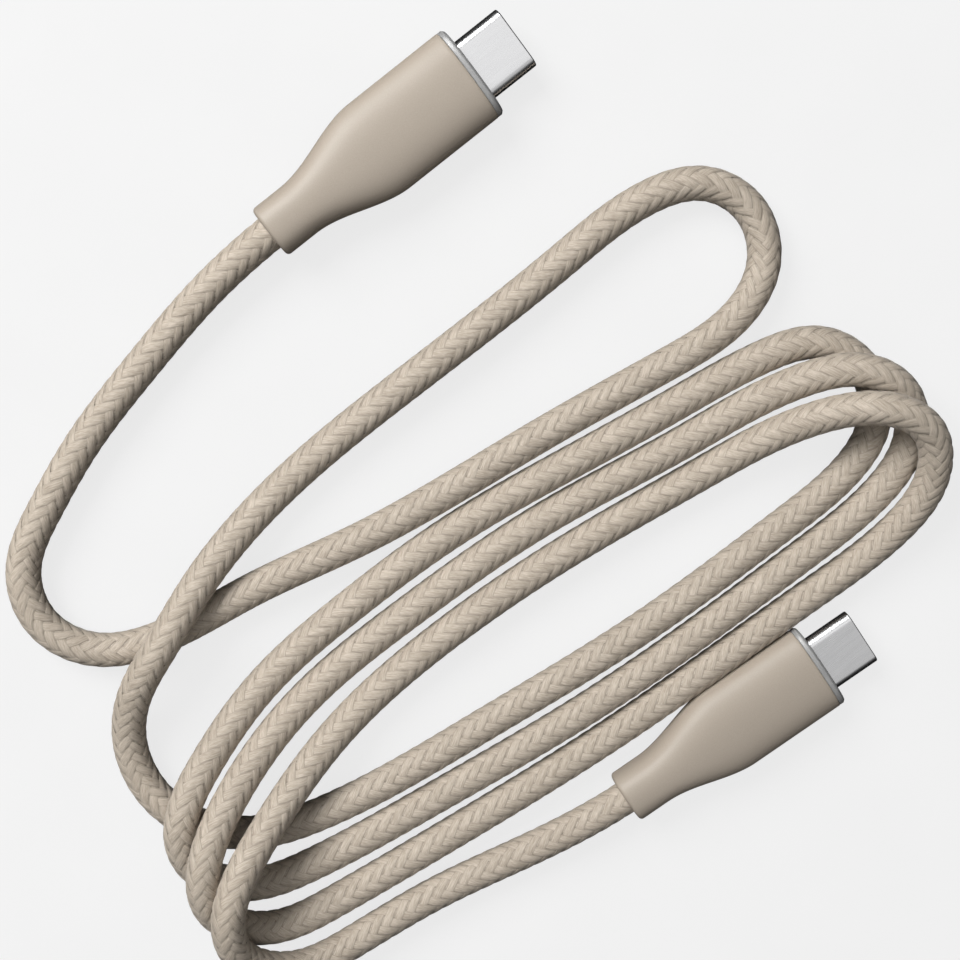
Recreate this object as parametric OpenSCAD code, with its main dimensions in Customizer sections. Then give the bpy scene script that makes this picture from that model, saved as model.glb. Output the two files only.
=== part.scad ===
// Braided USB-C to USB-C charging cable, laid flat in loose open loops.
// Row frame: +X along plug A towards its mating tip, +Z up, z = 0 the surface
// the cable lies on, origin under the middle of plug A. Millimetres.

/* [Connector shell] */
// Width of the metal plug shell
shell_w = 8.25; // [8.1:0.05:8.4]
// Height of the metal plug shell
shell_h = 2.4; // [2.3:0.05:2.5]
// Sheet thickness of the shell
shell_wall = 0.3; // [0.2:0.05:0.35]
// Length of shell standing out of the collar
shell_out = 6.65; // [6.2:0.05:6.8]

/* [Moulded housing] */
// Length of the housing with its front collar
housing_l = 31.6; // [29:0.2:36]
// Width of the housing
housing_w = 12.4; // [12:0.1:13]
// Thickness of the housing and its neck
housing_t = 6.6; // [6.4:0.1:7]
// Width of the neck where the cable leaves
neck_w = 7; // [6.8:0.1:8]
// Wall of the outer moulding
housing_wall = 0.8; // [0.8:0.05:0.9]
// Length of the metal collar at the front
collar_l = 0.9; // [0.6:0.1:1.2]
// Where the S-shaped taper starts, as a share of the housing's length
taper_start = 0.46; // [0.4:0.01:0.5]
// Where the taper has reached the neck's width
taper_end = 0.86; // [0.8:0.01:0.9]

/* [Cable] */
// Outer diameter of the braided sleeve
cable_d = 4.5; // [4.2:0.1:4.6]
// Thickness of the woven sleeve
braid_t = 0.3; // [0.2:0.05:0.4]
// Thickness of the inner jacket
jacket_t = 0.45; // [0.4:0.05:0.5]
// Radius of the two power wires
power_r = 0.45; // [0.35:0.05:0.45]
// Radius of the three signal wires
signal_r = 0.3; // [0.2:0.05:0.3]

/* [Circuit board] */
// Length of the paddle card
board_l = 9; // [8.5:0.1:9]
// Width of the paddle card
board_w = 7.4; // [7:0.1:7.5]
// Thickness of the paddle card
board_t = 0.7; // [0.6:0.05:0.7]

/* [Hidden] */

// Plug frame: x along the plug, from its rear face to its tip; z = 0 on its axis.
plug_l = housing_l + shell_out;
rear_x = -plug_l / 2;
tip_x = plug_l / 2;
front_x = rear_x + housing_l;          // front face of the collar
collar_x = front_x - collar_l;         // back face of the collar
axis_z = housing_t / 2;                // height of the plug's axis above the surface
fit_gap = 0.05;                        // gap between pieces that nest in each other
round_n = 12;                          // facets in each half round of the housing

// Where the pieces inside a plug begin and end along its axis
cord_in = 4;                           // length of cable inside the neck
ferrule_x0 = rear_x + 1.8;
ferrule_x1 = rear_x + 6.4;
ferrule_t = 0.37;
mould_x0 = ferrule_x1 + 0.3;
shield_x1 = tip_x - 11.4;
shell_x0 = shield_x1 + 0.1;
insulator_x0 = tip_x - 12.8;
insulator_x1 = tip_x - 0.5;
mouth_x0 = tip_x - 6.2;
board_x1 = insulator_x0 - 0.2;
board_x0 = board_x1 - board_l;
shield_x0 = board_x0 - 0.4;
fan_x = board_x0 - 3;                  // where the wires start to spread
tail_x1 = board_x0 + 1.6;              // where the soldered wires end
solder_l = 1.4;

shield_w = 8.2;
shield_h = 3;
shield_wall = 0.2;
mould_w = shield_w + 0.2;
mould_h = shield_h + 0.2;
fan_w = 6.4;                           // width of the room where the wires spread

// Contacts: pitch, strip size and the positions that a 2.0 data cable fills
pin_pitch = 0.5;
pin_w = 0.25;
pin_t = 0.14;
pin_z = board_t / 2 + 0.1;
pin_count = 12;
pins_top = [1, 4, 5, 6, 7, 9, 12];
pins_bottom = [1, 4, 5, 9, 12];
mouth_w = 6.9;
mouth_h = 1.3;
latch_t = 0.2;

// Wires across the cable: [sideways, up, radius]
vbus_at = [0.8, 0, power_r];
gnd_at = [-0.8, 0, power_r];
d_plus_at = [0.33, 0.85, signal_r];
d_minus_at = [-0.33, 0.85, signal_r];
cc_at = [0, -0.85, signal_r];
// Where each wire lands on the board: [sideways, which face]
vbus_pad = [2.6, 1];
gnd_pad = [-1.8, -1];
d_plus_pad = [0.9, 1];
d_minus_pad = [-0.7, 1];
cc_pad = [1.3, -1];

// Cable cross-section
sleeve_r = cable_d / 2;
sleeve_in = sleeve_r - braid_t;
jacket_r = sleeve_in - fit_gap;
jacket_in = jacket_r - jacket_t;
tube_n = 8;                            // sides of the sleeve and jacket
wire_n = 6;                            // sides of a wire

// Plug B lies beside the last strand, its rear face here and turned by this angle
plug_b_rear = [-29, -87];
plug_b_turn = -3.5;
plug_b_dir = [cos(plug_b_turn), sin(plug_b_turn)];

// The cable's route from plug A to plug B: the centre of the cable, [x, y, z]
loops = [
    [-19, 0, 3.3], [-28, -0.5, 2.9], [-42, -3, 2.3], [-54, -6, 2.3],
    [-63, -9.5, 2.3], [-69.7, -13.5, 2.3], [-72.5, -20.2, 2.3], [-69.8, -27, 2.3],
    [-62.8, -31, 2.3], [-50, -33.5, 2.3], [-35, -37, 2.3], [-8, -41, 2.3],
    [11, -44, 2.3], [21, -44.5, 2.3], [27.5, -41.5, 2.3], [30.3, -35, 2.3],
    [27.5, -28.5, 2.3], [21, -25.5, 2.3], [8, -25, 2.3], [-18, -25, 2.6],
    [-42, -26, 2.8], [-54, -28.5, 5.4], [-61.5, -31.2, 6.9], [-69, -34.5, 5],
    [-74.3, -39.5, 2.7], [-76.5, -46.5, 2.3], [-75, -53.5, 2.3], [-70, -59.3, 2.3],
    [-62, -62.8, 2.3], [-38, -67, 2.3], [-14, -69.8, 2.3], [11, -70.6, 2.3],
    [21, -70, 2.3], [27.5, -67, 2.3], [30.3, -60.5, 2.3], [27.5, -54, 2.3],
    [21, -51, 2.3], [8, -48.7, 2.3], [-8, -46.1, 2.3], [-24, -43.8, 2.3],
    [-42, -43.2, 2.4], [-57, -44.3, 2.8], [-68, -47.2, 5.7], [-75, -51, 7],
    [-78.1, -57.3, 4.8], [-75.3, -64.2, 2.6], [-67.5, -67.6, 2.3], [-50, -70.7, 2.3],
    [-26, -74, 2.3], [11, -75.6, 2.4], [22, -75, 2.7], [29, -71.8, 4],
    [31.8, -65.2, 6.2], [28.8, -58.9, 6.8], [22, -55.8, 4.6], [6, -53.3, 2.5],
    [-14, -50, 2.3], [-36, -48.6, 2.4], [-55, -49.3, 3], [-67.5, -52.2, 7.2],
    [-76, -57, 10], [-79.4, -63.7, 7.1], [-76.5, -70.6, 3.6], [-68, -73.7, 2.5],
    [-50, -76.3, 2.3], [-26, -79, 2.3], [8, -80.7, 2.4], [20.5, -80.4, 3.3],
    [28, -76.8, 6.4], [30.9, -70, 9.4], [27.6, -63.7, 9.8], [20.5, -60.4, 6.4],
    [6, -58.2, 2.6], [-14, -55.4, 2.3], [-36, -54, 2.5], [-54, -55.3, 3.8],
    [-67, -58.2, 8.8], [-76.5, -62.8, 11.8], [-80, -69.5, 9], [-77.3, -76.3, 5.4],
    [-69, -79.7, 3], [-57, -81.7, 2.3], [-44, -84.8, 2.3], [-29, -87, 3.3]
];
route = concat(
    [[rear_x + cord_in, 0, axis_z]],
    loops,
    [[plug_b_rear[0] + cord_in * plug_b_dir[0], plug_b_rear[1] + cord_in * plug_b_dir[1], axis_z]]
);

function unit(v) = v / norm(v);
function smooth(t) = let (c = min(1, max(0, t))) c * c * (3 - 2 * c);

// Direction of the route at each point, halfway between its two neighbours
function heading(p, i) =
    i == 0 ? unit(p[1] - p[0])
    : i == len(p) - 1 ? unit(p[i] - p[i - 1])
    : unit(unit(p[i + 1] - p[i]) + unit(p[i] - p[i - 1]));

// A ring of n points of radius r around path point i, moved off the centre by [sideways, up]
function ring(p, i, r, n, off = [0, 0]) =
    let (t = heading(p, i), side = unit(cross([0, 0, 1], t)), up = cross(t, side))
    [for (k = [0 : n - 1])
        let (a = 360 * k / n - 90)
        p[i] + side * (off[0] + r * cos(a)) + up * (off[1] + r * sin(a))];

function rings(p, r, n, off = [0, 0]) = [for (i = [0 : len(p) - 1]) ring(p, i, r, n, off)];

// An oval section of width w and height h with full round sides, at x
function oval(x, w, h, n = round_n) =
    let (r = h / 2 / cos(90 / n))
    [for (e = [1, -1]) for (k = [0 : n - 1])
        let (a = 180 * (k + 0.5) / n - 90 * e)
        [x, e * (w - h) / 2 + r * cos(a), r * sin(a)]];

// Faces between ring a and ring a + 1 of n points each
function wall_faces(a, n, first, flip) =
    [for (k = [0 : n - 1])
        let (p = first + a * n + k, q = first + a * n + (k + 1) % n)
        flip ? [p, q, q + n, p + n] : [p, p + n, q + n, q]];

// A closed solid through a list of rings
module skin(all_rings) {
    n = len(all_rings[0]);
    last = len(all_rings) - 1;
    sides = [for (a = [0 : last - 1]) each wall_faces(a, n, 0, false)];
    start_cap = [[for (k = [0 : n - 1]) k]];
    end_cap = [[for (k = [n - 1 : -1 : 0]) last * n + k]];
    polyhedron([for (r = all_rings) each r], concat(sides, start_cap, end_cap), convexity = 10);
}

// A tube wall between a list of outer rings and as many inner rings
module tube_skin(outer, inner) {
    n = len(outer[0]);
    last = len(outer) - 1;
    total = n * (last + 1);
    out_faces = [for (a = [0 : last - 1]) each wall_faces(a, n, 0, false)];
    in_faces = [for (a = [0 : last - 1]) each wall_faces(a, n, total, true)];
    start_rim = [for (k = [0 : n - 1]) [k, (k + 1) % n, total + (k + 1) % n, total + k]];
    end_rim = [for (k = [0 : n - 1])
        [last * n + (k + 1) % n, last * n + k, total + last * n + k, total + last * n + (k + 1) % n]];
    points = concat([for (r = outer) each r], [for (r = inner) each r]);
    polyhedron(points, concat(out_faces, in_faces, start_rim, end_rim), convexity = 10);
}

// A bar with full round sides along x: true curves, for the shell and what fits in it
module oval_bar(x0, x1, w, h) {
    translate([x0, 0, 0]) rotate([90, 0, 90]) linear_extrude(x1 - x0) {
        square([w - h, h], center = true);
        for (e = [-1, 1]) translate([e * (w - h) / 2, 0]) circle(d = h, $fn = 48);
    }
}

// A box from x0 to x1, centred on y and z
module block(x0, x1, w, h, y = 0, z = 0) {
    translate([x0, y - w / 2, z - h / 2]) cube([x1 - x0, w, h]);
}

// Width of the housing at a share s of its length, measured from the front
function housing_width(s) =
    neck_w + (housing_w - neck_w) * (1 - smooth((s - taper_start) / (taper_end - taper_start)));
function share(x) = (front_x - x) / housing_l;

// ---- Cable ----

module cable_sleeve() {
    color("tan") tube_skin(rings(route, sleeve_r, tube_n), rings(route, sleeve_in, tube_n));
}

module cable_jacket() {
    color("gainsboro") tube_skin(rings(route, jacket_r, tube_n), rings(route, jacket_in, tube_n));
}

module wire(at, c) {
    color(c) skin(rings(route, at[2], wire_n, at));
}

// ---- Plug pieces, in the plug frame ----

module shell() {
    color("silver") difference() {
        oval_bar(shell_x0, tip_x, shell_w, shell_h);
        oval_bar(shell_x0 - 1, tip_x + 1, shell_w - 2 * shell_wall, shell_h - 2 * shell_wall);
    }
}

module collar() {
    edge = 0.3;
    hole_w = shell_w + 2 * fit_gap;
    hole_h = shell_h + 2 * fit_gap;
    color("slategray") tube_skin(
        [
            oval(collar_x, housing_w, housing_t),
            oval(front_x - edge, housing_w, housing_t),
            oval(front_x - edge * 0.3, housing_w - edge * 0.6, housing_t - edge * 0.6),
            oval(front_x, housing_w - 2 * edge, housing_t - 2 * edge)
        ],
        [for (x = [collar_x, front_x - edge, front_x - edge * 0.3, front_x]) oval(x, hole_w, hole_h)]
    );
}

// Stations along the outer moulding, from the back of the collar to the end of the taper
taper_steps = 9;
taper_x = [for (i = [0 : taper_steps])
    front_x - housing_l * (taper_start + (taper_end - taper_start) * i / taper_steps)];
mould_x = concat([collar_x], [for (x = taper_x) if (x > mould_x0 + 0.2) x], [mould_x0]);
seat_x = concat([mould_x0 - 0.1], [for (x = taper_x) if (x < mould_x0 - 0.3) x], [ferrule_x0 - 0.2]);
rear_edge = 0.5;

// The outer moulding: a hollow S-shaped body with a lip that closes round the cable
module housing() {
    bore = 2 * (sleeve_r + 2 * fit_gap);
    seat = 2 * (sleeve_r + ferrule_t + 2 * fit_gap);
    inner_t = housing_t - 2 * housing_wall;
    lip_x = ferrule_x0 - 0.4;
    edge_x = rear_x + rear_edge * 0.3;
    outer = concat(
        [for (x = concat(mould_x, seat_x)) oval(x, housing_width(share(x)), housing_t)],
        [
            oval(lip_x, neck_w, housing_t),
            oval(rear_x + rear_edge, neck_w, housing_t),
            oval(edge_x, neck_w - rear_edge * 0.6, housing_t - rear_edge * 0.6),
            oval(rear_x, neck_w - 2 * rear_edge, housing_t - 2 * rear_edge)
        ]
    );
    inner = concat(
        [for (x = mould_x) oval(x, housing_width(share(x)) - 2 * housing_wall, inner_t)],
        [for (x = seat_x) oval(x, seat, seat)],
        [for (x = [lip_x, rear_x + rear_edge, edge_x, rear_x]) oval(x, bore, bore)]
    );
    color("tan") tube_skin(backwards(outer), backwards(inner));
}

function backwards(list) = [for (i = [len(list) - 1 : -1 : 0]) list[i]];

// The harder moulding under the outer one, with room for the shield can and the wires
module inner_mould() {
    gap = 2 * (housing_wall + fit_gap);
    stations = concat(backwards([for (x = mould_x) if (x < collar_x) x]), [collar_x - fit_gap]);
    color("whitesmoke") difference() {
        skin([for (x = stations) oval(x, housing_width(share(x)) - gap, housing_t - gap)]);
        block(shield_x0 - 0.1, front_x, mould_w, mould_h);
        block(fan_x - 0.2, front_x, fan_w, mould_h);
        rotate([0, 90, 0]) cylinder(r = jacket_in + 0.2, h = 4 * housing_l, center = true, $fn = 32);
    }
}

// Crimped sleeve that grips the end of the cable inside the neck
module ferrule() {
    length = ferrule_x1 - ferrule_x0;
    color("goldenrod") translate([ferrule_x0, 0, 0]) rotate([0, 90, 0]) difference() {
        cylinder(r = sleeve_r + ferrule_t + fit_gap / 2, h = length, $fn = 48);
        translate([0, 0, -1]) cylinder(r = sleeve_r + fit_gap / 2, h = length + 2, $fn = 48);
    }
}

// One half of the folded shield can; face is 1 for the top, -1 for the bottom
module shield_half(face) {
    half = shield_h / 2;
    color("lightsteelblue") difference() {
        block(shield_x0, shield_x1, shield_w, half - fit_gap, z = face * (half + fit_gap) / 2);
        block(shield_x0 - 1, shield_x1 + 1, shield_w - 2 * shield_wall, half,
            z = face * (half / 2 - shield_wall));
    }
}

module pin_slots(list, face) {
    for (i = list)
        block(insulator_x0 - 1, insulator_x1 - 0.4, pin_w + 0.04, pin_t + 0.04,
            y = pin_y(i), z = face * pin_z);
}

function pin_y(i) = (i - (pin_count + 1) / 2) * pin_pitch;

module insulator() {
    in_w = shell_w - 2 * shell_wall - 2 * fit_gap;
    in_h = shell_h - 2 * shell_wall - 0.04;
    color("dimgray") difference() {
        oval_bar(insulator_x0, insulator_x1, in_w, in_h);
        block(mouth_x0, tip_x, mouth_w, mouth_h);
        block(insulator_x0 - 1, tip_x, mouth_w, latch_t + 0.04);
        pin_slots(pins_top, 1);
        pin_slots(pins_bottom, -1);
        for (face = [-1, 1]) block(tip_x - 5, tip_x - 1.2, 5.4, 0.3, z = face * in_h / 2);
    }
}

// A row of contact strips, each with a bent nose that presses on the mating tongue
module contacts(list, face) {
    nose_x = tip_x - 2.6;
    nose_l = 0.9;
    color("gold") for (i = list) {
        block(board_x1 - 1.1, insulator_x1 - 0.6, pin_w, pin_t, y = pin_y(i), z = face * pin_z);
        block(nose_x, nose_x + nose_l, pin_w, pin_t, y = pin_y(i), z = face * (pin_z - pin_t));
    }
}

// Mid plate with the two side latches that hold the plug in its socket
module latch() {
    arm_w = 0.3;
    color("lightgray") {
        block(insulator_x0 + 0.1, mouth_x0 - 0.3, mouth_w - 0.1, latch_t);
        for (e = [-1, 1]) {
            block(mouth_x0 - 0.3, insulator_x1 - 0.5, arm_w, latch_t, y = e * (mouth_w - 0.1 - arm_w) / 2);
            block(tip_x - 1.9, tip_x - 1.2, arm_w, latch_t, y = e * ((mouth_w - 0.1 - arm_w) / 2 - arm_w));
        }
    }
}

// Grounding spring in its pocket between the insulator and the shell
module emi_spring(face) {
    z = face * (shell_h / 2 - shell_wall - 0.08);
    color("khaki") difference() {
        block(tip_x - 4.9, tip_x - 1.3, 5.2, 0.1, z = z);
        for (e = [-1, 0, 1]) block(tip_x - 4.2, tip_x - 1.9, 0.9, 1, y = 1.7 * e, z = z);
    }
}

module board() {
    color("seagreen") block(board_x0, board_x1, board_w, board_t);
}

module capacitor() {
    chip_h = 0.5;
    z = board_t / 2 + chip_h / 2 + 0.01;
    color("peru") block(board_x0 + 5.25, board_x0 + 5.75, 1, chip_h, y = 1.6, z = z);
    color("silver") for (e = [-1, 1])
        block(board_x0 + 5.25, board_x0 + 5.75, 0.25, chip_h, y = 1.6 + e * 0.63, z = z);
}

function pad_z(at, pad) = pad[1] * (board_t / 2 + 0.01 + at[2]);

module solder_bead(at, pad, side) {
    h = 2 * at[2];
    color("lightgray")
        block(tail_x1, tail_x1 + solder_l, h + 0.2, h, y = side * pad[0], z = pad_z(at, pad));
}

// side is 1 or -1: which way round the wires arrive at this plug
module solder(side) {
    solder_bead(vbus_at, vbus_pad, side);
    solder_bead(gnd_at, gnd_pad, side);
    solder_bead(d_plus_at, d_plus_pad, side);
    solder_bead(d_minus_at, d_minus_pad, side);
    solder_bead(cc_at, cc_pad, side);
}

module wire_tail(at, pad, side, c) {
    cord_x = rear_x + cord_in;
    path = [
        [cord_x, side * at[0], at[1]],
        [fan_x, side * at[0], at[1]],
        [board_x0 - 0.2, side * pad[0], pad_z(at, pad)],
        [tail_x1, side * pad[0], pad_z(at, pad)]
    ];
    color(c) skin([for (i = [0 : 3]) [for (k = [0 : wire_n - 1])
        let (a = 60 * k - 90)
        path[i] + [0, side * at[2] * cos(a), at[2] * sin(a)]]]);
}

module wire_tails(side) {
    wire_tail(vbus_at, vbus_pad, side, "firebrick");
    wire_tail(gnd_at, gnd_pad, side, "black");
    wire_tail(d_plus_at, d_plus_pad, side, "green");
    wire_tail(d_minus_at, d_minus_pad, side, "white");
    wire_tail(cc_at, cc_pad, side, "royalblue");
}

// Where each plug lies
module plug_a() {
    translate([0, 0, axis_z]) children();
}

module plug_b() {
    centre = plug_b_rear + plug_b_dir * plug_l / 2;
    translate([centre[0], centre[1], axis_z]) rotate([0, 0, plug_b_turn]) children();
}

cable_sleeve();
cable_jacket();
wire(vbus_at, "firebrick");  // wire_vbus
wire(gnd_at, "black");  // wire_gnd
wire(d_plus_at, "green");  // wire_d_plus
wire(d_minus_at, "white");  // wire_d_minus
wire(cc_at, "royalblue");  // wire_cc

plug_a() shell();  // plug_a_shell
plug_a() collar();  // plug_a_collar
plug_a() housing();  // plug_a_housing
plug_a() inner_mould();  // plug_a_inner_mould
plug_a() ferrule();  // plug_a_ferrule
plug_a() shield_half(1);  // plug_a_shield_top
plug_a() shield_half(-1);  // plug_a_shield_bottom
plug_a() insulator();  // plug_a_insulator
plug_a() contacts(pins_top, 1);  // plug_a_contacts_top
plug_a() contacts(pins_bottom, -1);  // plug_a_contacts_bottom
plug_a() latch();  // plug_a_latch
plug_a() emi_spring(1);  // plug_a_emi_spring_top
plug_a() emi_spring(-1);  // plug_a_emi_spring_bottom
plug_a() board();  // plug_a_board
plug_a() capacitor();  // plug_a_capacitor
plug_a() solder(-1);  // plug_a_solder
plug_a() wire_tails(-1);  // plug_a_wire_tails

plug_b() shell();  // plug_b_shell
plug_b() collar();  // plug_b_collar
plug_b() housing();  // plug_b_housing
plug_b() inner_mould();  // plug_b_inner_mould
plug_b() ferrule();  // plug_b_ferrule
plug_b() shield_half(1);  // plug_b_shield_top
plug_b() shield_half(-1);  // plug_b_shield_bottom
plug_b() insulator();  // plug_b_insulator
plug_b() contacts(pins_top, 1);  // plug_b_contacts_top
plug_b() contacts(pins_bottom, -1);  // plug_b_contacts_bottom
plug_b() latch();  // plug_b_latch
plug_b() emi_spring(1);  // plug_b_emi_spring_top
plug_b() emi_spring(-1);  // plug_b_emi_spring_bottom
plug_b() board();  // plug_b_board
plug_b() capacitor();  // plug_b_capacitor
plug_b() solder(1);  // plug_b_solder
plug_b() wire_tails(1);  // plug_b_wire_tails
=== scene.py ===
import bpy
import math
import numpy as np
from mathutils import Matrix, Vector


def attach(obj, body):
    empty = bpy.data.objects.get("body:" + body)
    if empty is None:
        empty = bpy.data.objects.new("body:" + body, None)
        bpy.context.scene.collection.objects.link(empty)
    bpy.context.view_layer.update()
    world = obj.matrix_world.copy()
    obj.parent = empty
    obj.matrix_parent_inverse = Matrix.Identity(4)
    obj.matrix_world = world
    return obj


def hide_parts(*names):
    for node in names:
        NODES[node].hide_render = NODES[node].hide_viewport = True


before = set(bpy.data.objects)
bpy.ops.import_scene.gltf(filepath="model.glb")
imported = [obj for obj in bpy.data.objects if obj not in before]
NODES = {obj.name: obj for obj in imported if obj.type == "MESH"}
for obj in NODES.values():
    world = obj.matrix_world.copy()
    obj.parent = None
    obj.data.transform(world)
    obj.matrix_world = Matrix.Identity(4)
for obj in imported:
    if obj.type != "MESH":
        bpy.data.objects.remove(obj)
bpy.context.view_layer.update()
MM = 0.001                    # a millimetre of the CAD in metres

# ---------------------------------------------------------------- camera
# Its place, and the directions that the picture calls right and up
CAM_POS = np.array([-11.901, -0.035, 195.63]) * MM
CAM_RIGHT = np.array([0.78667228, -0.6085552, 0.10395813])
CAM_UP = np.array([0.6166462, 0.76637294, -0.18005549])
cam_data = bpy.data.cameras.new("camera")
cam = bpy.data.objects.new("camera", cam_data)
bpy.context.scene.collection.objects.link(cam)
cam_data.sensor_width = 36.0
cam_data.lens = 57.75
cam_data.clip_start = 0.01
cam_data.clip_end = 20.0
cam_data.dof.use_dof = False
back = np.cross(CAM_RIGHT, CAM_UP)
cam.matrix_world = Matrix(
    [[float(CAM_RIGHT[i]), float(CAM_UP[i]), float(back[i]), float(CAM_POS[i])] for i in range(3)]
    + [[0, 0, 0, 1]]
)
bpy.context.scene.camera = cam

# ---------------------------------------------------------------- the cable's route
# Sizes and the route are those of part.scad, in millimetres
HOUSING_L, HOUSING_W, HOUSING_T = 31.6, 12.4, 6.6
NECK_W = 7.0
COLLAR_L = 0.9
SHELL_OUT = 6.65              # how far the shell stands out of the collar
SHELL_W, SHELL_H, SHELL_T = 8.25, 2.4, 0.3
TAPER_START, TAPER_END = 0.46, 0.86
CORD_IN = 4                   # length of cable inside the neck
AXIS_Z = HOUSING_T / 2
PLUG_L = HOUSING_L + SHELL_OUT
REAR = -PLUG_L / 2
TIP = PLUG_L / 2
FRONT = REAR + HOUSING_L
COLLAR_X = FRONT - COLLAR_L
B_REAR = np.array([-29.0, -87.0])  # middle of plug B's rear end, in plan
B_TURN = math.radians(-3.5)   # direction plug B points in; plug A points along x
B_DIR = np.array([math.cos(B_TURN), math.sin(B_TURN)])
# Listed points of the cable from plug A to plug B
LOOPS = [
    [-19, 0, 3.3], [-28, -0.5, 2.9], [-42, -3, 2.3], [-54, -6, 2.3],
    [-63, -9.5, 2.3], [-69.7, -13.5, 2.3], [-72.5, -20.2, 2.3], [-69.8, -27, 2.3],
    [-62.8, -31, 2.3], [-50, -33.5, 2.3], [-35, -37, 2.3], [-8, -41, 2.3],
    [11, -44, 2.3], [21, -44.5, 2.3], [27.5, -41.5, 2.3], [30.3, -35, 2.3],
    [27.5, -28.5, 2.3], [21, -25.5, 2.3], [8, -25, 2.3], [-18, -25, 2.6],
    [-42, -26, 2.8], [-54, -28.5, 5.4], [-61.5, -31.2, 6.9], [-69, -34.5, 5],
    [-74.3, -39.5, 2.7], [-76.5, -46.5, 2.3], [-75, -53.5, 2.3], [-70, -59.3, 2.3],
    [-62, -62.8, 2.3], [-38, -67, 2.3], [-14, -69.8, 2.3], [11, -70.6, 2.3],
    [21, -70, 2.3], [27.5, -67, 2.3], [30.3, -60.5, 2.3], [27.5, -54, 2.3],
    [21, -51, 2.3], [8, -48.7, 2.3], [-8, -46.1, 2.3], [-24, -43.8, 2.3],
    [-42, -43.2, 2.4], [-57, -44.3, 2.8], [-68, -47.2, 5.7], [-75, -51, 7],
    [-78.1, -57.3, 4.8], [-75.3, -64.2, 2.6], [-67.5, -67.6, 2.3], [-50, -70.7, 2.3],
    [-26, -74, 2.3], [11, -75.6, 2.4], [22, -75, 2.7], [29, -71.8, 4],
    [31.8, -65.2, 6.2], [28.8, -58.9, 6.8], [22, -55.8, 4.6], [6, -53.3, 2.5],
    [-14, -50, 2.3], [-36, -48.6, 2.4], [-55, -49.3, 3], [-67.5, -52.2, 7.2],
    [-76, -57, 10], [-79.4, -63.7, 7.1], [-76.5, -70.6, 3.6], [-68, -73.7, 2.5],
    [-50, -76.3, 2.3], [-26, -79, 2.3], [8, -80.7, 2.4], [20.5, -80.4, 3.3],
    [28, -76.8, 6.4], [30.9, -70, 9.4], [27.6, -63.7, 9.8], [20.5, -60.4, 6.4],
    [6, -58.2, 2.6], [-14, -55.4, 2.3], [-36, -54, 2.5], [-54, -55.3, 3.8],
    [-67, -58.2, 8.8], [-76.5, -62.8, 11.8], [-80, -69.5, 9], [-77.3, -76.3, 5.4],
    [-69, -79.7, 3], [-57, -81.7, 2.3], [-44, -84.8, 2.3], [-29, -87, 3.3]
]
ROUTE = np.array(
    [[REAR + CORD_IN, 0, AXIS_Z]] + LOOPS
    + [[B_REAR[0] + CORD_IN * B_DIR[0], B_REAR[1] + CORD_IN * B_DIR[1], AXIS_Z]]
)


def natural_spline(points):
    """Second derivatives of the natural cubic spline through the points, by plan distance."""
    t = np.concatenate([[0], np.cumsum(np.hypot(*np.diff(points[:, :2], axis=0).T))])
    n = len(t)
    h = np.diff(t)
    a = np.zeros((n, n))
    b = np.zeros((n, 3))
    a[0, 0] = a[-1, -1] = 1
    for i in range(1, n - 1):
        a[i, i - 1] = h[i - 1]
        a[i, i] = 2 * (h[i - 1] + h[i])
        a[i, i + 1] = h[i]
        b[i] = 6 * ((points[i + 1] - points[i]) / h[i] - (points[i] - points[i - 1]) / h[i - 1])
    return t, np.linalg.solve(a, b)


def sample_spline(points, t, m, u):
    """Points of the spline with knots t and second derivatives m at the plan distances u."""
    i = np.clip(np.searchsorted(t, u) - 1, 0, len(t) - 2)
    h = t[i + 1] - t[i]
    p = ((t[i + 1] - u) / h)[:, None]
    q = ((u - t[i]) / h)[:, None]
    hh = (h ** 2 / 6)[:, None]
    return p * points[i] + q * points[i + 1] + ((p ** 3 - p) * m[i] + (q ** 3 - q) * m[i + 1]) * hh


T_KNOTS, M_KNOTS = natural_spline(ROUTE)
U_FINE = np.linspace(0, T_KNOTS[-1], 12001)
C_FINE = sample_spline(ROUTE, T_KNOTS, M_KNOTS, U_FINE)
S_FINE = np.concatenate([[0], np.cumsum(np.linalg.norm(np.diff(C_FINE, axis=0), axis=1))])
LENGTH = S_FINE[-1]
TAN_FINE = np.gradient(C_FINE, S_FINE, axis=0)
TAN_FINE /= np.linalg.norm(TAN_FINE, axis=1)[:, None]


def along(s):
    """Centre, tangent, sideways and up vectors of the cable at distance s, in millimetres."""
    s = np.clip(s, 0, LENGTH)
    c = np.stack([np.interp(s, S_FINE, C_FINE[:, k]) for k in range(3)], -1)
    t = np.stack([np.interp(s, S_FINE, TAN_FINE[:, k]) for k in range(3)], -1)
    t /= np.linalg.norm(t, axis=-1, keepdims=True)
    side = np.cross(np.array([0.0, 0.0, 1.0]), t)
    side /= np.linalg.norm(side, axis=-1, keepdims=True)
    return c, t, side, np.cross(t, side)


def on_cable(s, angle, rho):
    """Points at distance s along the cable, at an angle around it and rho from its centre."""
    centre, _, side, up = along(s)
    rho = np.asarray(rho)[..., None]
    return centre + rho * (np.cos(angle)[..., None] * side + np.sin(angle)[..., None] * up)


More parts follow.
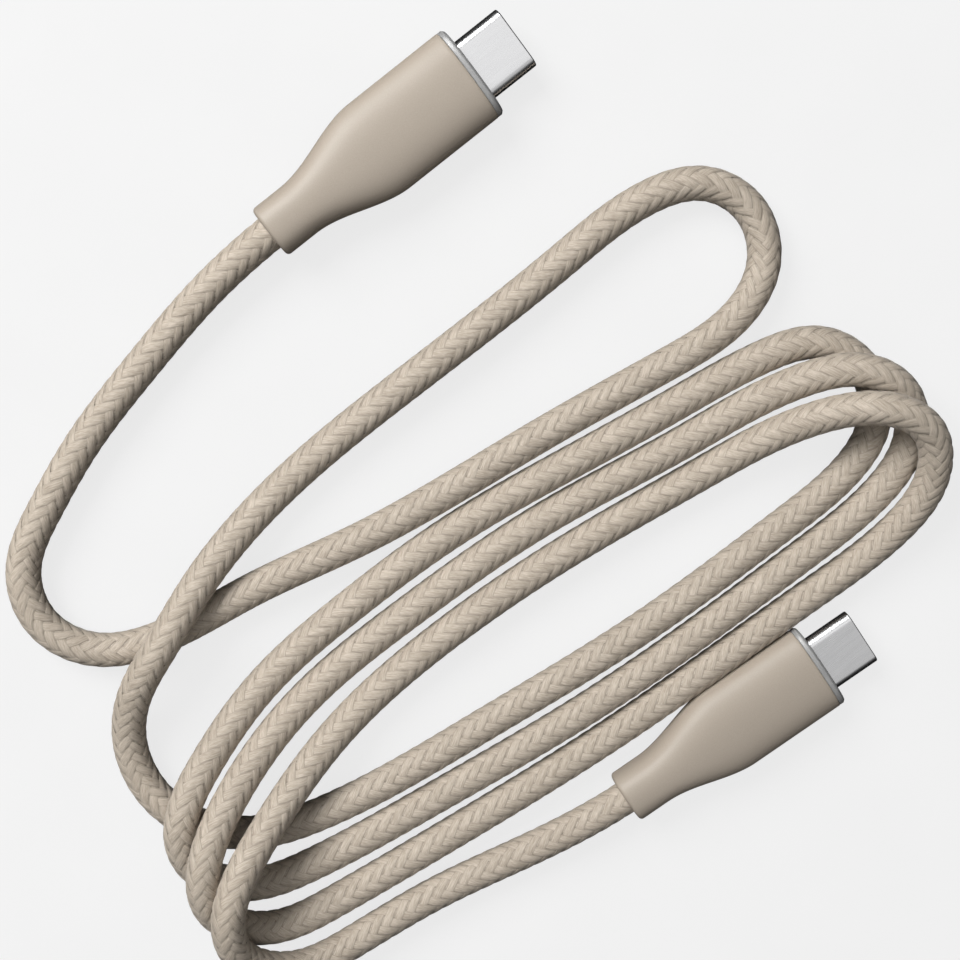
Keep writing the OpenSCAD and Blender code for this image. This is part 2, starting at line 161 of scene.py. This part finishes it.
# ---------------------------------------------------------------- mesh helpers
def mesh_object(name, verts_mm, faces):
    """A smooth-shaded mesh; points in millimetres, faces with one number of corners."""
    me = bpy.data.meshes.new(name)
    verts = (np.asarray(verts_mm, dtype=np.float64) * MM).astype(np.float32)
    faces = np.asarray(faces, dtype=np.int32)
    n = faces.shape[1]
    me.vertices.add(len(verts))
    me.vertices.foreach_set("co", verts.ravel())
    me.loops.add(faces.size)
    me.loops.foreach_set("vertex_index", faces.ravel())
    me.polygons.add(len(faces))
    me.polygons.foreach_set("loop_start", np.arange(0, faces.size, n, dtype=np.int32))
    me.polygons.foreach_set("loop_total", np.full(len(faces), n, dtype=np.int32))
    me.polygons.foreach_set("use_smooth", np.ones(len(faces), dtype=bool))
    me.update(calc_edges=True)
    me.validate()
    ob = bpy.data.objects.new(name, me)
    bpy.context.scene.collection.objects.link(ob)
    return ob


def set_uv(ob, vertex_uv):
    """Give every corner of a face the uv of its point."""
    me = ob.data
    layer = me.uv_layers.new(name="uv")
    idx = np.zeros(len(me.loops), dtype=np.int32)
    me.loops.foreach_get("vertex_index", idx)
    layer.data.foreach_set("uv", np.asarray(vertex_uv, dtype=np.float32)[idx].ravel())


def grid_faces(rows, cols, closed=False):
    """Faces between the rows of a grid of points; closed joins the last column to the first."""
    r = np.arange(rows - 1)[:, None]
    c = np.arange(cols if closed else cols - 1)[None, :]
    nx = (c + 1) % cols
    a = r * cols + c
    b = r * cols + nx
    return np.stack([a, b, b + cols, a + cols], -1).reshape(-1, 4)


# ---------------------------------------------------------------- materials
def new_material(name):
    mat = bpy.data.materials.new(name)
    mat.use_nodes = True
    nt = mat.node_tree
    nt.nodes.clear()
    out = nt.nodes.new("ShaderNodeOutputMaterial")
    bsdf = nt.nodes.new("ShaderNodeBsdfPrincipled")
    nt.links.new(bsdf.outputs[0], out.inputs[0])
    return mat, nt, bsdf


def node(nt, kind, inputs=None, **props):
    n = nt.nodes.new(kind)
    for k, v in props.items():
        setattr(n, k, v)
    for k, v in (inputs or {}).items():
        n.inputs[k].default_value = v
    return n


def object_coords(nt, stretch):
    """Object coordinates in millimetres, stretched along each axis."""
    tc = node(nt, "ShaderNodeTexCoord")
    mp = node(nt, "ShaderNodeMapping")
    mp.inputs["Scale"].default_value = tuple(v / MM for v in stretch)
    nt.links.new(tc.outputs["Object"], mp.inputs[0])
    return mp.outputs[0]


def map_range(nt, value, low, high, to_low, to_high):
    """The value taken from the range low..high to the range to_low..to_high."""
    n = node(nt, "ShaderNodeMapRange",
             {"From Min": low, "From Max": high, "To Min": to_low, "To Max": to_high})
    nt.links.new(value, n.inputs[0])
    return n.outputs[0]


def relief(nt, height, distance_mm, bsdf):
    """Bump of the given depth on the material's normal."""
    n = node(nt, "ShaderNodeBump", {"Strength": 1.0, "Distance": distance_mm * MM})
    nt.links.new(height, n.inputs["Height"])
    nt.links.new(n.outputs[0], bsdf.inputs["Normal"])


def ramp(nt, fac, stops):
    """A colour ramp from stops of position and colour."""
    r = node(nt, "ShaderNodeValToRGB")
    els = r.color_ramp.elements
    els[0].position, els[0].color = stops[0][0], (*stops[0][1], 1)
    els[1].position, els[1].color = stops[-1][0], (*stops[-1][1], 1)
    for pos, col in stops[1:-1]:
        e = els.new(pos)
        e.color = (*col, 1)
    nt.links.new(fac, r.inputs[0])
    return r.outputs[0]


def math_node(nt, op, a, b=None):
    n = node(nt, "ShaderNodeMath", operation=op)
    for i, v in enumerate((a, b)):
        if v is None:
            continue
        if isinstance(v, (int, float)):
            n.inputs[i].default_value = v
        else:
            nt.links.new(v, n.inputs[i])
    return n.outputs[0]


def noisy(name, dark, light, rough=(0.4, 0.6), metallic=0.0, scale=6.0, stretch=(1, 1, 1),
          bump=0.02, bump_scale=30.0, **const):
    """A material whose colour, roughness and relief vary with noise in object space (per mm)."""
    mat, nt, bsdf = new_material(name)
    coords = object_coords(nt, stretch)
    tint = node(nt, "ShaderNodeTexNoise", {"Scale": scale, "Detail": 4.0})
    nt.links.new(coords, tint.inputs["Vector"])
    fac = tint.outputs["Fac"]
    nt.links.new(ramp(nt, fac, [(0.3, dark), (0.7, light)]), bsdf.inputs["Base Color"])
    nt.links.new(map_range(nt, fac, 0.3, 0.7, *rough), bsdf.inputs["Roughness"])
    grain = node(nt, "ShaderNodeTexNoise", {"Scale": bump_scale, "Detail": 2.0})
    nt.links.new(coords, grain.inputs["Vector"])
    relief(nt, grain.outputs["Fac"], bump, bsdf)
    bsdf.inputs["Metallic"].default_value = metallic
    for k, v in const.items():
        bsdf.inputs[k.replace("_", " ")].default_value = v
    return mat


YARN_DARK = (0.30, 0.252, 0.196)
YARN_MID = (0.43, 0.37, 0.302)
YARN_LIGHT = (0.56, 0.49, 0.408)


def yarn_material(name):
    """Woven yarn: fine filaments along each strip, with painted shade that darkens it towards its two
    edges, where the strips meet.
    """
    mat, nt, bsdf = new_material(name)
    uv = node(nt, "ShaderNodeUVMap", uv_map="uv")
    sep = node(nt, "ShaderNodeSeparateXYZ")
    nt.links.new(uv.outputs[0], sep.inputs[0])
    along_uv, across_uv = sep.outputs[0], sep.outputs[1]
    # filaments: stripes across the strip, broken up by noise along it
    comb = node(nt, "ShaderNodeCombineXYZ")
    nt.links.new(math_node(nt, "MULTIPLY", along_uv, 0.9), comb.inputs[0])
    nt.links.new(math_node(nt, "MULTIPLY", across_uv, 9.0), comb.inputs[1])
    fibre = node(nt, "ShaderNodeTexNoise", {"Scale": 1.0, "Detail": 3.0, "Roughness": 0.65})
    nt.links.new(comb.outputs[0], fibre.inputs["Vector"])
    # slow changes of tint from strip to strip and along each of them
    comb2 = node(nt, "ShaderNodeCombineXYZ")
    nt.links.new(math_node(nt, "MULTIPLY", along_uv, 0.25), comb2.inputs[0])
    nt.links.new(math_node(nt, "MULTIPLY", across_uv, 0.7), comb2.inputs[1])
    patch = node(nt, "ShaderNodeTexNoise", {"Scale": 1.0, "Detail": 2.0})
    nt.links.new(comb2.outputs[0], patch.inputs["Vector"])
    mix = math_node(nt, "ADD", math_node(nt, "MULTIPLY", fibre.outputs["Fac"], 0.7),
                    math_node(nt, "MULTIPLY", patch.outputs["Fac"], 0.3))
    colour = ramp(nt, mix, [(0.30, YARN_DARK), (0.5, YARN_MID), (0.68, YARN_LIGHT)])
    # Painted shade: the colour is scaled down to 0.72 towards each strip's two edges, in place of the
    # shade where the strips dive under their neighbours
    edge = math_node(nt, "ABSOLUTE", math_node(nt, "SUBTRACT", math_node(nt, "FRACT", across_uv), 0.5))
    painted_edge_shade = node(nt, "ShaderNodeVectorMath", operation="SCALE")
    nt.links.new(colour, painted_edge_shade.inputs[0])
    nt.links.new(map_range(nt, edge, 0.34, 0.5, 1.0, 0.72), painted_edge_shade.inputs["Scale"])
    nt.links.new(painted_edge_shade.outputs[0], bsdf.inputs["Base Color"])
    nt.links.new(map_range(nt, fibre.outputs["Fac"], 0.3, 0.7, 0.72, 0.55), bsdf.inputs["Roughness"])
    relief(nt, fibre.outputs["Fac"], 0.05, bsdf)
    bsdf.inputs["Sheen Weight"].default_value = 0.15
    bsdf.inputs["Sheen Roughness"].default_value = 0.5
    bsdf.inputs["Specular IOR Level"].default_value = 0.35
    return mat


M_YARN = yarn_material("braid_yarn")
# Painted shade: a near-black tube under the braid, seen in the gaps between the yarns where shade
# falls
M_BRAID_SHADE = noisy("braid_shadow", (0.03, 0.024, 0.018), (0.075, 0.06, 0.045), (0.7, 0.9),
               scale=3.0, bump=0.05)
M_HOUSING = noisy("housing_plastic", (0.350, 0.302, 0.250), (0.385, 0.333, 0.276), (0.42, 0.5),
                  scale=9.0, bump=0.012, bump_scale=14.0, Specular_IOR_Level=0.4)
M_COLLAR = noisy("collar_metal", (0.30, 0.30, 0.30), (0.36, 0.36, 0.355), (0.45, 0.52), metallic=0.25,
                 scale=5.0, stretch=(1, 0.1, 1), bump=0.004, bump_scale=8.0)
M_SHELL = noisy("shell_steel", (0.50, 0.50, 0.505), (0.56, 0.56, 0.565), (0.24, 0.30), metallic=1.0,
                scale=2.5, stretch=(0.12, 1, 1), bump=0.0012, bump_scale=10.0)
M_INSULATOR = noisy("insulator_plastic", (0.012, 0.012, 0.013), (0.03, 0.03, 0.032), (0.45, 0.6),
                    scale=5.0)
M_GOLD = noisy("contact_gold", (0.72, 0.47, 0.14), (0.86, 0.6, 0.22), (0.2, 0.32),
               metallic=1.0, scale=6.0)
M_SPRING = noisy("spring_steel", (0.45, 0.45, 0.46), (0.6, 0.6, 0.61), (0.28, 0.4), metallic=1.0,
                 scale=4.0, stretch=(0.15, 1, 1))
M_JACKET = noisy("jacket_rubber", (0.5, 0.5, 0.5), (0.62, 0.62, 0.62), (0.5, 0.65), scale=3.0)
M_MOULD = noisy("mould_plastic", (0.72, 0.72, 0.69), (0.82, 0.82, 0.79), (0.45, 0.6), scale=3.0)
M_BOARD = noisy("board_green", (0.01, 0.12, 0.05), (0.02, 0.2, 0.08), (0.25, 0.4), scale=5.0)
M_CHIP = noisy("chip_brown", (0.3, 0.19, 0.1), (0.42, 0.28, 0.16), (0.4, 0.6), scale=8.0)
M_SOLDER = noisy("solder_tin", (0.6, 0.6, 0.62), (0.75, 0.75, 0.77), (0.2, 0.4),
                 metallic=1.0, scale=4.0)
M_BRASS = noisy("ferrule_brass", (0.6, 0.43, 0.16), (0.75, 0.55, 0.24), (0.25, 0.4),
                metallic=1.0, scale=3.0)
WIRE = {
    "wire_vbus": noisy("wire_red", (0.4, 0.02, 0.02), (0.55, 0.04, 0.03), scale=3.0),
    "wire_gnd": noisy("wire_black", (0.01, 0.01, 0.01), (0.03, 0.03, 0.03), scale=3.0),
    "wire_d_plus": noisy("wire_green", (0.02, 0.24, 0.06), (0.04, 0.36, 0.1), scale=3.0),
    "wire_d_minus": noisy("wire_white", (0.7, 0.7, 0.7), (0.82, 0.82, 0.82), scale=3.0),
    "wire_cc": noisy("wire_blue", (0.03, 0.09, 0.42), (0.05, 0.15, 0.58), scale=3.0),
}
INNER = {
    "inner_mould": M_MOULD, "ferrule": M_BRASS, "shield_top": M_SPRING, "shield_bottom": M_SPRING,
    "insulator": M_INSULATOR, "contacts_top": M_GOLD, "contacts_bottom": M_GOLD, "latch": M_SPRING,
    "emi_spring_top": M_SPRING, "emi_spring_bottom": M_SPRING, "board": M_BOARD,
    "capacitor": M_CHIP, "solder": M_SOLDER, "wire_tails": WIRE["wire_d_minus"],
}


def dress(ob, mat):
    ob.data.materials.clear()
    ob.data.materials.append(mat)


for p in "ab":
    for name, mat in INNER.items():
        dress(NODES["plug_%s_%s" % (p, name)], mat)

# ---------------------------------------------------------------- braided cable
LAY = 15.6                    # length of one full turn of a yarn
CARRIERS = 8                  # yarns wound each way
R_YARN = 2.13                 # mean radius of the yarns' middle
RISE = 0.058                  # how far a yarn rises over and dips under the others
YARN_W = {1: (1.28, 1.26), -1: (1.10, 1.19)}  # widths of neighbouring yarns, by winding
STEP = 0.32                   # distance between points along a yarn
YARN_END = 0.4                # the yarns stop this far short of the cable's ends
PIECES = 8                    # pieces that the braid is cut into
R_SHADE_TUBE = 1.99                 # painted shade: a near-black tube seen in the gaps between the yarns, in place of the shade there
R_JACKET = 1.88
R_POWER, R_SIGNAL = 0.44, 0.29
OMEGA = 2 * math.pi / LAY     # angle turned per millimetre of cable
ALPHA = math.atan(OMEGA * R_YARN)  # angle between a yarn and the cable


def tube(name, radius, sides, step, mat, off=(0.0, 0.0)):
    """A round tube along the cable's route, its centre moved sideways and up by off."""
    s = np.linspace(0, LENGTH, int(LENGTH / step) + 1)
    a = np.arange(sides) * 2 * math.pi / sides
    centre, _, side, up = along(s)
    mid = centre + side * off[0] + up * off[1]
    ring = np.cos(a)[None, :, None] * side[:, None] + np.sin(a)[None, :, None] * up[:, None]
    pts = mid[:, None] + radius * ring
    ob = mesh_object(name, pts.reshape(-1, 3), grid_faces(len(s), sides, closed=True))
    ob.data.materials.append(mat)
    return ob


def weave(x):
    """+1 where a yarn lies over, -1 where it lies under; over two, under two."""
    return np.tanh(2.0 * np.cos(2 * math.pi * (x - 0.5) / 4)) / math.tanh(2.0)


def yarn_strips(name, s0, s1):
    """Every yarn between distances s0 and s1 as arched strips that pass over and under."""
    s = np.linspace(s0, s1, int((s1 - s0) / STEP) + 1)
    # a strip's cross-section: shares of its width, and the height of its arch there
    across = np.array([-0.5, -0.36, -0.13, 0.13, 0.36, 0.5])
    arch = np.array([-0.05, 0.0, 0.022, 0.022, 0.0, -0.05])
    verts, faces, uvs = [], [], []
    total = 0
    for way in (1, -1):
        for i in range(CARRIERS):
            ss, vv = np.meshgrid(s, across, indexing="ij")
            ar = np.broadcast_to(arch, ss.shape)
            base = way * OMEGA * ss + 2 * math.pi * i / CARRIERS
            off = vv * YARN_W[way][i % 2]
            s_pt = ss - way * off * math.sin(ALPHA)
            a_pt = base + off * math.cos(ALPHA) / R_YARN
            # which yarn of the other winding is crossed here, with fractions in between
            other = (a_pt + way * OMEGA * s_pt) * CARRIERS / (2 * math.pi)
            lift = way * weave(i + other)
            rho = R_YARN + RISE * lift + ar
            pts = on_cable(s_pt, a_pt, rho)
            verts.append(pts.reshape(-1, 3))
            faces.append(grid_faces(len(s), len(across)) + total)
            total += pts.shape[0] * pts.shape[1]
            # u runs along the strip and the fraction of v across it; each strip's own shift
            # of both gives it its own part of the noise
            u = ss / math.cos(ALPHA) + 31.7 * i + 7.3 * way
            v = vv * 0.998 + 0.5 + 20 * i + (160 if way < 0 else 0)
            uvs.append(np.stack([u, v], -1).reshape(-1, 2))
    ob = mesh_object(name, np.concatenate(verts), np.concatenate(faces))
    set_uv(ob, np.concatenate(uvs))
    ob.data.materials.append(M_YARN)
    return ob


# The painted shade tube under the braid; the grey jacket tube lies inside it
shade_tube = tube("cable_braid_shade", R_SHADE_TUBE, 20, 0.8, M_BRAID_SHADE)
inside = {"cable_jacket": tube("cable_jacket_tube", R_JACKET, 16, 2.0, M_JACKET)}
for wire_name, off, r_wire in (
    ("wire_vbus", (0.8, 0), R_POWER),
    ("wire_gnd", (-0.8, 0), R_POWER),
    ("wire_d_plus", (0.33, 0.85), R_SIGNAL),
    ("wire_d_minus", (-0.33, 0.85), R_SIGNAL),
    ("wire_cc", (0, -0.85), R_SIGNAL),
):
    inside[wire_name] = tube(wire_name + "_strand", r_wire, 8, 2.0, WIRE[wire_name], off)
cuts = np.linspace(YARN_END, LENGTH - YARN_END, PIECES + 1)
yarns = [yarn_strips("cable_braid_%d" % (k + 1), cuts[k], cuts[k + 1]) for k in range(PIECES)]


# ---------------------------------------------------------------- plug pieces
CORD_HOLE = 4.8               # opening in the housing that the cable leaves by
CROWN_POWER = 2.45            # exponent of the housing's section; 2 would be an ellipse
FLAT_POINTS = 8               # points along each flat face of a section
ROUND_STEPS = 28              # steps around each side of a section


def smooth_step(t):
    c = min(1.0, max(0.0, t))
    return c * c * (3 - 2 * c)


def width_at(x):
    """Width of the housing, which narrows to the neck in an S."""
    s = (FRONT - x) / HOUSING_L
    taper = smooth_step((s - TAPER_START) / (TAPER_END - TAPER_START))
    return NECK_W + (HOUSING_W - NECK_W) * (1 - taper)


def oval(x, w, h, crown=0.0):
    """A section with full round sides; crown bends its flat faces into one long curve."""
    r = h / 2
    out = []
    for e in (1, -1):
        for k in range(ROUND_STEPS + 1):
            a = math.radians(180 * k / ROUND_STEPS - 90 * e)
            out.append((x, e * (w - h) / 2 + r * math.cos(a), r * math.sin(a)))
        for k in range(FLAT_POINTS):
            out.append((x, e * (w - h) / 2 * (1 - 2 * (k + 1) / (FLAT_POINTS + 1)), e * r))
    if not crown:
        return out
    bent = []
    for px, py, pz in out:
        u, v = abs(2 * py / w), abs(2 * pz / h)
        g = (u ** CROWN_POWER + v ** CROWN_POWER) ** (1 / CROWN_POWER)
        k = 1 + crown * (1 / g - 1)
        bent.append((px, py * k, pz * k))
    return bent


def loft(name, stations, to_world, crowns=None):
    """A skin through sections given as place along the plug, width and height."""
    crowns = crowns or [0.0] * len(stations)
    rings = [oval(x, w, h, c) for (x, w, h), c in zip(stations, crowns)]
    verts = np.array(rings, dtype=float).reshape(-1, 3)
    return mesh_object(name, to_world(verts), grid_faces(len(rings), len(rings[0]), closed=True))


def plug_world(which):
    """Takes points from the plug's own frame to the shared one."""
    if which == "a":
        return lambda v: v + np.array([0, 0, AXIS_Z])
    c, s = math.cos(B_TURN), math.sin(B_TURN)
    mid = B_REAR + B_DIR * PLUG_L / 2
    rot = np.array([[c, -s, 0], [s, c, 0], [0, 0, 1]])
    return lambda v: v @ rot.T + np.array([mid[0], mid[1], AXIS_Z])


def rounded(x_edge, x_in, w, h, r, steps=6):
    """Stations of a rounded edge between the end face at x_edge and the side at x_in."""
    out = []
    for k in range(steps + 1):
        a = math.pi / 2 * k / steps
        d = r * (1 - math.sin(a))
        out.append((x_edge + (x_in - x_edge) * (1 - math.cos(a)), w - 2 * d, h - 2 * d))
    return out


def make_housing(p, world):
    """Rounded rear edge, S-shaped body, and a small lip that closes on the collar."""
    w, h, hole = HOUSING_W, HOUSING_T, CORD_HOLE
    rear = [(REAR + 1.6, hole, hole), (REAR + 0.15, hole, hole),
            (REAR + 0.03, hole + 0.06, hole + 0.06), (REAR, hole + 0.2, hole + 0.2)]
    edge = rounded(REAR, REAR + 0.55, NECK_W, h, 0.55)
    body = [(x, width_at(x), h) for x in np.linspace(REAR + 0.7, COLLAR_X - 0.08, 90)]
    lip = [(COLLAR_X - 0.03, w - 0.06, h - 0.06), (COLLAR_X - 0.001, w - 0.2, h - 0.2),
           (COLLAR_X - 0.001, 8.6, 2.8)]
    crowns = [0.0] * len(rear) + [1.0] * (len(edge) + len(body) + 2) + [0.0]
    housing = loft("plug_%s_housing_skin" % p, rear + edge + body + lip, world, crowns)
    housing.data.materials.append(M_HOUSING)
    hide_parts("plug_%s_housing" % p)
    return housing


def make_collar(p, world):
    """Plate with a chamfer around its front, open where the shell comes through."""
    w, h = HOUSING_W, HOUSING_T
    back = [(COLLAR_X, 8.4, 2.55), (COLLAR_X, w - 0.3, h - 0.3),
            (COLLAR_X + 0.05, w - 0.12, h - 0.12), (COLLAR_X + 0.1, w - 0.06, h - 0.06)]
    chamfer = [(FRONT - 0.34, w - 0.06, h - 0.06), (FRONT - 0.3, w - 0.08, h - 0.08),
               (FRONT - 0.06, w - 0.5, h - 0.5), (FRONT - 0.01, w - 0.62, h - 0.62),
               (FRONT, w - 0.72, h - 0.72)]
    opening = [(FRONT, 8.6, 2.75), (FRONT - 0.04, 8.4, 2.55), (COLLAR_X, 8.4, 2.55)]
    crowns = [0.0] + [1.0] * (len(back) - 1 + len(chamfer)) + [0.0] * len(opening)
    collar = loft("plug_%s_collar_plate" % p, back + chamfer + opening, world, crowns)
    collar.data.materials.append(M_COLLAR)
    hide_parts("plug_%s_collar" % p)
    return collar


def make_shell(p, world):
    """Drawn sheet, from 3 mm behind the collar's front to a rolled lip at the mouth."""
    w, h, t = SHELL_W, SHELL_H, SHELL_T
    mouth = []
    for k in range(9):
        a = math.pi * k / 8
        roll = t * math.cos(a)
        mouth.append((TIP - 0.15 + 0.15 * math.sin(a), w - t + roll, h - t + roll))
    outer = [(x, w, h) for x in np.linspace(FRONT - 3, TIP - 0.2, 24)]
    inner = [(x, w - 2 * t, h - 2 * t) for x in np.linspace(TIP - 0.2, FRONT - 3, 12)]
    shell = loft("plug_%s_shell_sheet" % p, outer + mouth + inner + [outer[0]], world)
    shell.data.materials.append(M_SHELL)
    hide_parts("plug_%s_shell" % p)
    return shell


def make_plug(p):
    world = plug_world(p)
    return [make_housing(p, world), make_collar(p, world), make_shell(p, world)]


plug_a = make_plug("a")
plug_b = make_plug("b")
for ob in plug_a + plug_b + yarns + [shade_tube] + list(inside.values()):
    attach(ob, "root")
for name, ob in inside.items():
    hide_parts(name)
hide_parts("cable_sleeve")
[list(c * MM) for c in along(np.linspace(0, LENGTH, 1200))[0]]

# ---------------------------------------------------------------- floor and light
# The picture's right and up as seen on the floor, and where most light comes from
IMG_RIGHT = Vector((0.791, -0.612, 0))
IMG_UP = Vector((0.627, 0.779, 0))
LIGHT_FROM = (IMG_RIGHT * -0.15 + IMG_UP * -0.05 + Vector((0, 0, 0.98))).normalized()
bpy.context.scene.view_settings.view_transform = "Standard"
FLOOR_HALF = 3                # metres, like all that follows
WALL_R, WALL_TOP, WALL_SIDES = 2.9, 4.0, 32


def paper_material():
    """Paper that is lit mostly by its own glow, which keeps the ground an even white."""
    mat, nt, bsdf = new_material("floor_paper")
    grain = node(nt, "ShaderNodeTexNoise", {"Scale": 400.0, "Detail": 3.0})
    stops = [(0.3, (0.095, 0.095, 0.095)), (0.7, (0.105, 0.105, 0.105))]
    nt.links.new(ramp(nt, grain.outputs["Fac"], stops), bsdf.inputs["Base Color"])
    bsdf.inputs["Emission Color"].default_value = (1, 1, 1, 1)
    bsdf.inputs["Emission Strength"].default_value = 0.78
    bsdf.inputs["Roughness"].default_value = 0.9
    bsdf.inputs["Specular IOR Level"].default_value = 0.1
    return mat


def setting(name, verts, faces, mat):
    """A piece of the surroundings, in metres, that doesn't light the cable."""
    me = bpy.data.meshes.new(name)
    me.from_pydata(verts, [], faces)
    me.materials.append(mat)
    ob = bpy.data.objects.new(name, me)
    bpy.context.scene.collection.objects.link(ob)
    ob.visible_diffuse = False
    ob.visible_glossy = False
    return ob


paper = paper_material()
corners = [(x * FLOOR_HALF, y * FLOOR_HALF, -0.0002) for x, y in ((-1, -1), (1, -1), (1, 1), (-1, 1))]
floor = setting("floor", corners, [(0, 1, 2, 3)], paper)

# A round wall far off, so that low views end on paper too
turns = [2 * math.pi * k / WALL_SIDES for k in range(WALL_SIDES)]
rims = [(WALL_R * math.cos(a), WALL_R * math.sin(a), z) for z in (-0.01, WALL_TOP) for a in turns]
backdrop = setting("backdrop", rims, grid_faces(2, WALL_SIDES, closed=True).tolist(), paper)
backdrop.visible_shadow = False

# The sky is brightest towards LIGHT_FROM
world = bpy.data.worlds.new("world")
bpy.context.scene.world = world
world.use_nodes = True
wt = world.node_tree
sky = wt.nodes["Background"]
wc = node(wt, "ShaderNodeTexCoord")
dot = node(wt, "ShaderNodeVectorMath", operation="DOT_PRODUCT")
wt.links.new(wc.outputs["Generated"], dot.inputs[0])
dot.inputs[1].default_value = LIGHT_FROM
wt.links.new(map_range(wt, dot.outputs["Value"], 0.3, 0.92, 0.03, 1.0), sky.inputs["Color"])
sky.inputs["Strength"].default_value = 0.42
COIL_MIDDLE = (-0.018, -0.041, 0)


def area(name, direction, distance, size, energy):
    """A square light that faces the middle of the coil from a distance."""
    light = bpy.data.lights.new(name, "AREA")
    light.shape = "SQUARE"
    light.size = size
    light.energy = energy
    ob = bpy.data.objects.new(name, light)
    bpy.context.scene.collection.objects.link(ob)
    d = Vector(direction).normalized()
    ob.location = Vector(COIL_MIDDLE) + d * distance
    ob.rotation_euler = d.to_track_quat("Z", "Y").to_euler()
    return ob


area("key", IMG_RIGHT * -0.64 + IMG_UP * 0.64 + Vector((0, 0, 0.72)), 0.6, 0.3, 4.6)
# A wide card overhead, seen only in the metal and the gloss
card = area("card", (0.1, -0.25, 0.96), 1.0, 1.0, 1.7)
card.visible_diffuse = False
area("fill", IMG_RIGHT * -0.1 + IMG_UP * 0.3 + Vector((0, 0, 1.0)), 1.1, 0.8, 1.3)

bpy.context.view_layer.update()
